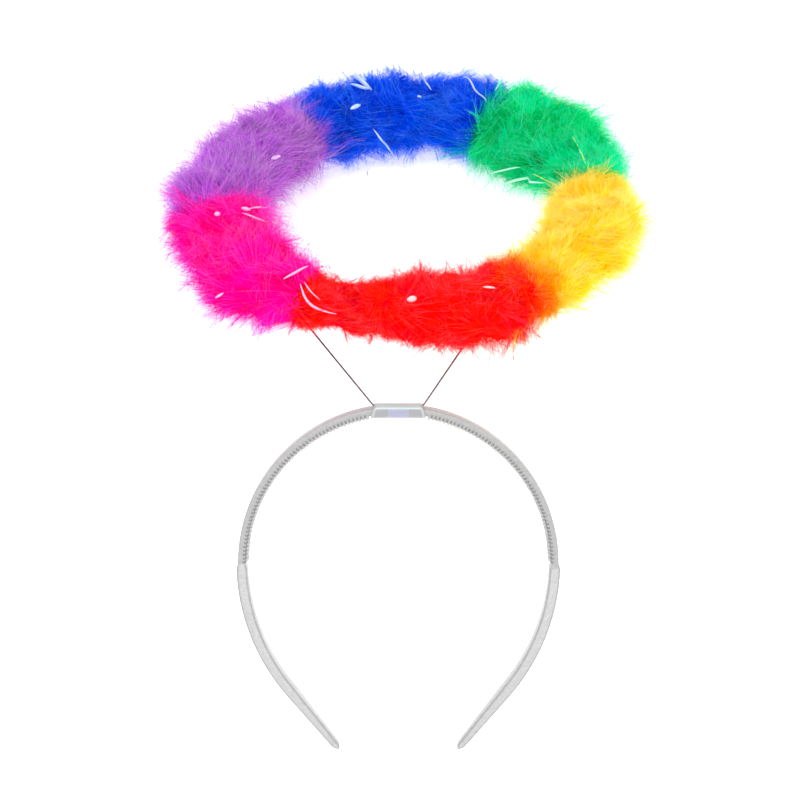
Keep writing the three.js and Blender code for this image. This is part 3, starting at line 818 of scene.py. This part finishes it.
def barbs(rng, trim, count):
    """The longer barbs down both sides of each feather's shaft."""
    feathers = int((trim["ends"][1] - trim["ends"][0]) * PLUME_DENSITY)
    parts = plumes(rng, trim, feathers)
    owner = rng.integers(0, feathers, count)
    roots, lengths, way, bend, sides, tones = (part[owner] for part in parts)
    place = rng.uniform(0.3, 1.0, count)
    base = roots + (lengths * place)[:, None] * (way + 0.5 * place[:, None] * bend)
    shaft = unit(way + place[:, None] * bend)
    side = sides * rng.choice([-1.0, 1.0], count)[:, None]
    spread = (np.radians(50 - 38 * place) + rng.normal(0, 0.1, count))[:, None]
    ways = np.cos(spread) * shaft + np.sin(spread) * unit(side + rng.normal(0, 0.22, (count, 3)))
    length = (13.0 - 6.5 * place) * rng.uniform(0.6, 1.1, count) * MM
    curl = 0.3 * shaft + rng.normal(0, 0.1, (count, 3))
    lines = strands(base, ways, length, curl, BARB_POINTS, reach=rng.uniform(0.95, 1.5, count))
    width = rng.uniform(0.08, 0.16, count) * MM
    return ribbons(lines, width, tones + rng.normal(0, 0.08, count), taper=0.7)


def wisps(rng, trim, count):
    """Fine loose strands that stand out of the trim."""
    far = 1.58 + 0.17 * trim["strays"]
    _, _, base, ways, length, sweep = clumped(
        rng, trim, count, roots=(0.6, 0.95), tips=(1.0, far), sideways=0.9, loose=0.25
    )
    tone = 0.75 + rng.normal(0, 0.12, count)
    lines = strands(base, ways, length, sweep, WISP_POINTS, reach=rng.uniform(1.2, far + 0.3, count))
    return ribbons(lines, rng.uniform(0.10, 0.19, count) * MM, tone, taper=0.7)


def core(trim):
    """The dense down next to the ring wire, as one lumpy closed body in the dark columns of the chart."""
    start, end = np.radians(trim["ends"])
    rows = int((end - start) * CORE_ROWS)
    angles = np.linspace(start + CORE_INSET, end - CORE_INSET, rows)[:, None]
    turns = np.linspace(0, 2 * math.pi, CORE_COLUMNS, endpoint=False)[None]
    ripple = 1 + 0.07 * np.sin(7 * turns + 37 * angles) * np.cos(4 * turns - 53 * angles)
    edge = np.minimum(angles - start, end - angles)
    size = CORE_SHARE * fullness(angles, turns) * ripple * (1 - 0.35 * np.exp(-edge / CORE_TAPER))
    size[[0, -1]] *= 0.1
    points = from_section(np.broadcast_to(angles, size.shape), size * np.cos(turns), size * np.sin(turns))
    points[..., 2] = np.maximum(points[..., 2], FLOOR_SKIN)
    points, loops, counts = skin(points)
    mottle = 12 + 9 * np.sin(41 * angles + 3 * turns) * np.sin(5 * turns - 29 * angles)
    tone = np.clip(mottle, 1, TONES - 2).astype(int)
    patch = np.array([(0.1, 0.30), (0.9, 0.30), (0.9, 0.42), (0.1, 0.42)])
    squares = np.broadcast_to(patch, (rows - 1, CORE_COLUMNS, 4, 2)).copy()
    squares[..., 0] = (squares[..., 0] + tone[:-1, :, None]) / TONES
    rim = 0.4 + 0.02 * np.stack([np.cos(turns[0]), np.sin(turns[0])], -1)
    return points, loops, counts, np.concatenate([squares.reshape(-1, 2), rim, rim])


def sighted(pixels):
    """Where lines of sight through pixels of the photo first meet the shafts' layer: angles and turns."""
    off = (np.array(pixels) / PHOTO_SIZE - 0.5) * CAMERA_SENSOR / CAMERA_LENS
    ways = unit(off[:, :1] * ACROSS - off[:, 1:] * VIEW_UP - VIEW_TOWARD)
    angles, out, across = section_place(VIEW_PLACE + SIGHT[:, None] * ways[:, None])
    turns = np.arctan2(across, out)
    share = np.hypot(out, across) / fullness(angles, turns)
    met = share < QUILL_SHARE
    first = np.where(met.any(1), met.argmax(1), share.argmin(1))
    rows = np.arange(len(first))
    return np.unwrap(angles[rows, first]), np.unwrap(turns[rows, first])


def quill(width, pixels):
    """A bare shaft, thickest in the middle, that follows the trim's surface."""
    steps = np.linspace(0, 1, QUILL_POINTS)
    places = np.linspace(0, 1, len(pixels))
    angles, turns = (np.interp(steps, places, row) for row in sighted(pixels))
    share = QUILL_SHARE * fullness(angles, turns)
    line = from_section(angles, share * np.cos(turns), share * np.sin(turns))
    radii = width / 2 * MM * (0.2 + 0.8 * np.sin(math.pi * steps) ** 0.7)
    points, loops, counts = tube(line, radii, QUILL_SIDES)
    corners = np.arange(len(loops)) * math.pi / 2
    uvs = 0.5 + 0.02 * np.stack([np.cos(corners), np.sin(corners)], -1)
    return points, loops, counts, uvs


def blend_share(angles, trim):
    """How much of the trim takes the colour between it and the next at these angles."""
    if "blend" not in trim:
        return np.zeros(len(angles))
    middle, reach = trim["blend"]
    off = (np.degrees(angles) - middle + 180) % 360 - 180
    return BLEND_STRENGTH * (1 - np.abs(off) / reach)


def core_marks(part, trim):
    """The material of each of the core's faces."""
    points, loops, counts, _ = part
    starts = np.concatenate([[0], np.cumsum(counts)[:-1]])
    angles = section_place(points[loops[starts]])[0]
    return np.where(blend_share(angles, trim) > CORE_BLEND, BLEND, DOWN)


def strand_marks(rng, part, trim, count):
    """The material of each strand's faces: fringe where its tip stands out, and the blend near a join."""
    lines = part[0].reshape(-1, 2 * count - 1, 3)
    angles, out, across = section_place(lines[:, -1])
    share = np.hypot(out, across) / fullness(angles, np.arctan2(across, out))
    marks = np.where(share + rng.normal(0, FRINGE_SPREAD, len(lines)) > FRINGE_SHARE, FRINGE, DOWN)
    blended = rng.uniform(0, 1, len(lines)) < blend_share(section_place(lines[:, 0])[0], trim)
    marks[blended] = BLEND
    return np.repeat(marks, count - 1)


# Materials of the feathers

def ramp_of(nodes, colours):
    """A ramp through these colours, evenly spaced."""
    ramp = nodes.new("ShaderNodeValToRGB")
    stops = ramp.color_ramp.elements
    for _ in colours[2:]:
        stops.new(0.5)
    for stop, place, colour in zip(stops, np.linspace(0, 1, len(colours)), colours):
        stop.position = place
        stop.color = (*colour, 1.0)
    return ramp


def chart(nodes, links):
    """The feathers' colour chart, as its columns and its rows."""
    places = nodes.new("ShaderNodeUVMap")
    places.uv_map = UV_NAME
    split = nodes.new("ShaderNodeSeparateXYZ")
    links.new(places.outputs[0], split.inputs[0])
    return split.outputs["X"], split.outputs["Y"]


def soft_shader(nodes, links, colour):
    """A matt shader without a sheen."""
    shader = nodes.new("ShaderNodeBsdfPrincipled")
    shader.inputs["Roughness"].default_value = FEATHER_ROUGHNESS
    shader.inputs["IOR"].default_value = 1.0
    links.new(colour, shader.inputs["Base Color"])
    return shader


def shown(nodes, links, shader):
    """Joins a shader to the material's output."""
    output = nodes.new("ShaderNodeOutputMaterial")
    links.new(shader.outputs[0], output.inputs[0])


def feather_material(name, roots, tips):
    """Dyed down: colour from barb to barb and from root to tip, soft and partly see-through to light. Its
    dark and light barbs are partly the dye's own patches and partly painted shade and painted highlights.
    """
    material, nodes, links = new_material(name)
    columns, rows = chart(nodes, links)
    first, second = ramp_of(nodes, roots), ramp_of(nodes, tips)
    links.new(columns, first.inputs[0])
    links.new(columns, second.inputs[0])
    mix = nodes.new("ShaderNodeMix")
    mix.data_type = "RGBA"
    links.new(rows, mix.inputs[0])
    links.new(first.outputs[0], mix.inputs[6])
    links.new(second.outputs[0], mix.inputs[7])
    colour = mix.outputs[2]
    shader = soft_shader(nodes, links, colour)
    through = nodes.new("ShaderNodeBsdfTranslucent")
    links.new(colour, through.inputs["Color"])
    both = nodes.new("ShaderNodeMixShader")
    both.inputs[0].default_value = THROUGH_SHARE
    links.new(shader.outputs[0], both.inputs[1])
    links.new(through.outputs[0], both.inputs[2])
    shown(nodes, links, both)
    return material


def fringe_material(name, colours):
    """Loose dyed fringe: it fades from root to tip, so that the tips show what lies behind them."""
    material, nodes, links = new_material(name)
    _, rows = chart(nodes, links)
    ramp = ramp_of(nodes, colours)
    for stop, alpha in zip(ramp.color_ramp.elements, FRINGE_ALPHA):
        stop.color[3] = alpha
    links.new(rows, ramp.inputs[0])
    shader = soft_shader(nodes, links, ramp.outputs[0])
    links.new(ramp.outputs[1], shader.inputs["Alpha"])
    shown(nodes, links, shader)
    return material


def uneven_material(name, colours, scale, settings, detail=2.0):
    """A surface that goes between two colours with a noise, and has these settings of its shader."""
    material, nodes, links = new_material(name)
    shader = nodes.new("ShaderNodeBsdfPrincipled")
    for socket, value in settings.items():
        shader.inputs[socket].default_value = value
    noise = nodes.new("ShaderNodeTexNoise")
    noise.inputs["Scale"].default_value = scale
    noise.inputs["Detail"].default_value = detail
    ramp = ramp_of(nodes, colours)
    links.new(noise.outputs["Fac"], ramp.inputs[0])
    links.new(ramp.outputs[0], shader.inputs["Base Color"])
    shown(nodes, links, shader)
    return material


def quill_material(name, colour):
    """Bare shaft, a little uneven."""
    return uneven_material(name, [[0.85 * part for part in colour], colour], 300.0, {"Roughness": 0.5})


def marabou(index, name, trim):
    """A length of trim: its core, down, barbs and wisps, and the bare shafts that show."""
    rng = np.random.default_rng(TRIM_SEED + index)
    span = (trim["ends"][1] - trim["ends"][0]) * QUALITY
    parts = [
        core(trim),
        down(rng, trim, int(span * DOWN_DENSITY)),
        barbs(rng, trim, int(span * BARB_DENSITY)),
        wisps(rng, trim, int(span * WISP_DENSITY * trim["strays"])),
    ]
    marks = [core_marks(parts[0], trim)]
    for part, points in zip(parts[1:], (DOWN_POINTS, BARB_POINTS, WISP_POINTS)):
        marks.append(strand_marks(rng, part, trim, points))
    shafts = [quill(width, pixels) for owner, width, pixels in QUILLS if owner == name]
    marks += [np.full(len(shaft[2]), QUILL) for shaft in shafts]
    made = mesh_object("feathers_" + name, *joined(parts + shafts))
    made.data.materials.append(feather_material(name + "_down", trim["roots"], trim["tips"]))
    made.data.materials.append(quill_material(name + "_quill", trim["quill"]))
    made.data.materials.append(fringe_material(name + "_fringe", trim["fringe"]))
    if "blend" in trim:
        made.data.materials.append(feather_material(name + "_blend", trim["blend_roots"], trim["blend_tips"]))
    made.data.polygons.foreach_set("material_index", np.concatenate(marks).astype(np.int32))
    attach(made, "root")
    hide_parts("marabou_" + name)


# Materials of the headband, and the pieces

def plastic(name, shade, alpha):
    """Milky clear moulding."""
    settings = {"Roughness": 0.35, "Specular IOR Level": 0.25, "Alpha": alpha}
    colours = [[part * 0.82 for part in shade], [part * 1.16 for part in shade]]
    return uneven_material(name, colours, 90.0, settings, detail=1.0)


def clear_film(name, colours, alpha):
    """Thin glossy film, with a noise in its colour that paints the glints of a few creases, and the tints of
    its rows, among them a painted lavender reflection.
    """
    return uneven_material(name, colours, 110.0, {"Roughness": 0.15, "Alpha": alpha}, detail=1.0)


def steel():
    """Dark drawn wire."""
    colours = [(0.07, 0.07, 0.075), (0.22, 0.22, 0.23)]
    return uneven_material("steel_wire", colours, 700.0, {"Metallic": 1.0, "Roughness": 0.35})


# Painted lit and shaded copies of one clear plastic, and how far each hides what is behind it: painted shade
# at the edges, painted light on the teeth and along the legs, a painted shadow at the teeth's roots and a
# painted tint on the top face
BODY, PAINTED_EDGE_SHADE, PAINTED_RIB_LIGHT, PAINTED_ROOT_SHADOW, PAINTED_LEG_LIGHT, PAINTED_TOP_TINT = range(6)
PLASTIC_SHADES = [
    ("clear_plastic", (0.35, 0.35, 0.35), 0.90),
    # painted shade at the rounded edges and the tips
    ("clear_plastic_painted_edge_shade", (0.32, 0.32, 0.32), 0.90),
    # painted light on the thin teeth
    ("clear_plastic_painted_rib_light", (0.54, 0.54, 0.53), 0.75),
    # painted shadow between the teeth's roots
    ("clear_plastic_painted_root_shadow", (0.25, 0.25, 0.25), 0.75),
    # painted light along the legs' flat faces
    ("clear_plastic_painted_leg_light", (0.45, 0.45, 0.455), 0.85),
    # painted tint: the arc's top face lighter and teal, to cancel the pink light the red feathers throw on it
    ("clear_plastic_painted_top_tint", (0.37, 0.41, 0.41), 0.95),
]

# The colours of the film and how far each hides what is behind it
FRONT, PAINTED_REFLECTION, DOME, END = range(4)
FILM_SHADES = [
    ("clear_film", [(0.36, 0.365, 0.37), (0.42, 0.425, 0.43)], 0.6),
    # painted reflection: a lavender tint across the sleeve's middle
    ("clear_film_painted_reflection", [(0.38, 0.39, 0.52), (0.48, 0.48, 0.62)], 0.6),
    ("clear_film_dome", [(0.42, 0.54, 0.53), (0.48, 0.62, 0.60)], 0.85),
    ("clear_film_end", [(0.44, 0.46, 0.46), (0.50, 0.52, 0.52)], 0.8),
]


def headband():
    """The band with its comb, in painted shades of one clear plastic: painted light along its legs' middles
    and on its teeth, painted shade at the legs' edges and tips, a painted shadow between the teeth, and a
    painted tint on the arc's top face.
    """
    body = band_body()
    ribs, roots = comb()
    materials = [plastic(*row) for row in PLASTIC_SHADES]
    made = piece("band", stacked([body, ribs, roots]), materials[0], "headband")
    for material in materials[1:]:
        made.data.materials.append(material)
    rings = len(body[0]) // SECTION_POINTS
    sides = np.arange((rings - 1) * SECTION_POINTS) % SECTION_POINTS
    legs = worn_heights(body[0])[: len(sides)] < 0
    # the legs' rounded edges take the painted shade, their flat faces the painted light
    corners = sides % (SECTION_POINTS // 4) < SECTION_POINTS // 4 - 1
    # the arc's outer face takes the painted teal tint
    arc_marks = np.where(sides == SECTION_POINTS - 1, PAINTED_TOP_TINT, BODY)
    marks = np.where(legs, np.where(corners, PAINTED_EDGE_SHADE, PAINTED_LEG_LIGHT), arc_marks)
    marks = np.concatenate([marks, [PAINTED_EDGE_SHADE, PAINTED_EDGE_SHADE], np.full(len(ribs[2]), PAINTED_RIB_LIGHT), np.full(len(roots[2]), PAINTED_ROOT_SHADOW)])
    made.data.polygons.foreach_set("material_index", marks.astype(np.int32))


def sleeve():
    """The sleeve: milky on its dome and at its cut ends, and clear in front, with a painted lavender
    reflection in the middle.
    """
    parts = film()
    materials = [clear_film(*row) for row in FILM_SHADES]
    made = piece("film", parts, materials[0], "clear_sleeve")
    for material in materials[1:]:
        made.data.materials.append(material)
    points, loops, _ = parts
    centres = points[loops.reshape(-1, 4)].mean(1)
    x = (centres - BAND_MIDDLE) @ ACROSS / MM
    # the middle stretch takes the painted lavender reflection
    marks = np.where((x > FILM_PAINTED_REFLECTION[0]) & (x < FILM_PAINTED_REFLECTION[1]), PAINTED_REFLECTION, FRONT)
    marks[worn_heights(centres) > FLAT_TOP - FILM_FOOT] = DOME
    marks[np.abs(x) > FILM_LENGTH / 2 - FILM_SLANT - FILM_END] = END
    made.data.polygons.foreach_set("material_index", marks.astype(np.int32))


wire_steel = steel()
headband()
sleeve()
piece("legs", support_wire(), wire_steel, "support_wire")
piece("hoop", ring_wire(), wire_steel, "ring_wire")

for index, (name, trim) in enumerate(TRIMS.items()):
    marabou(index, name, trim)
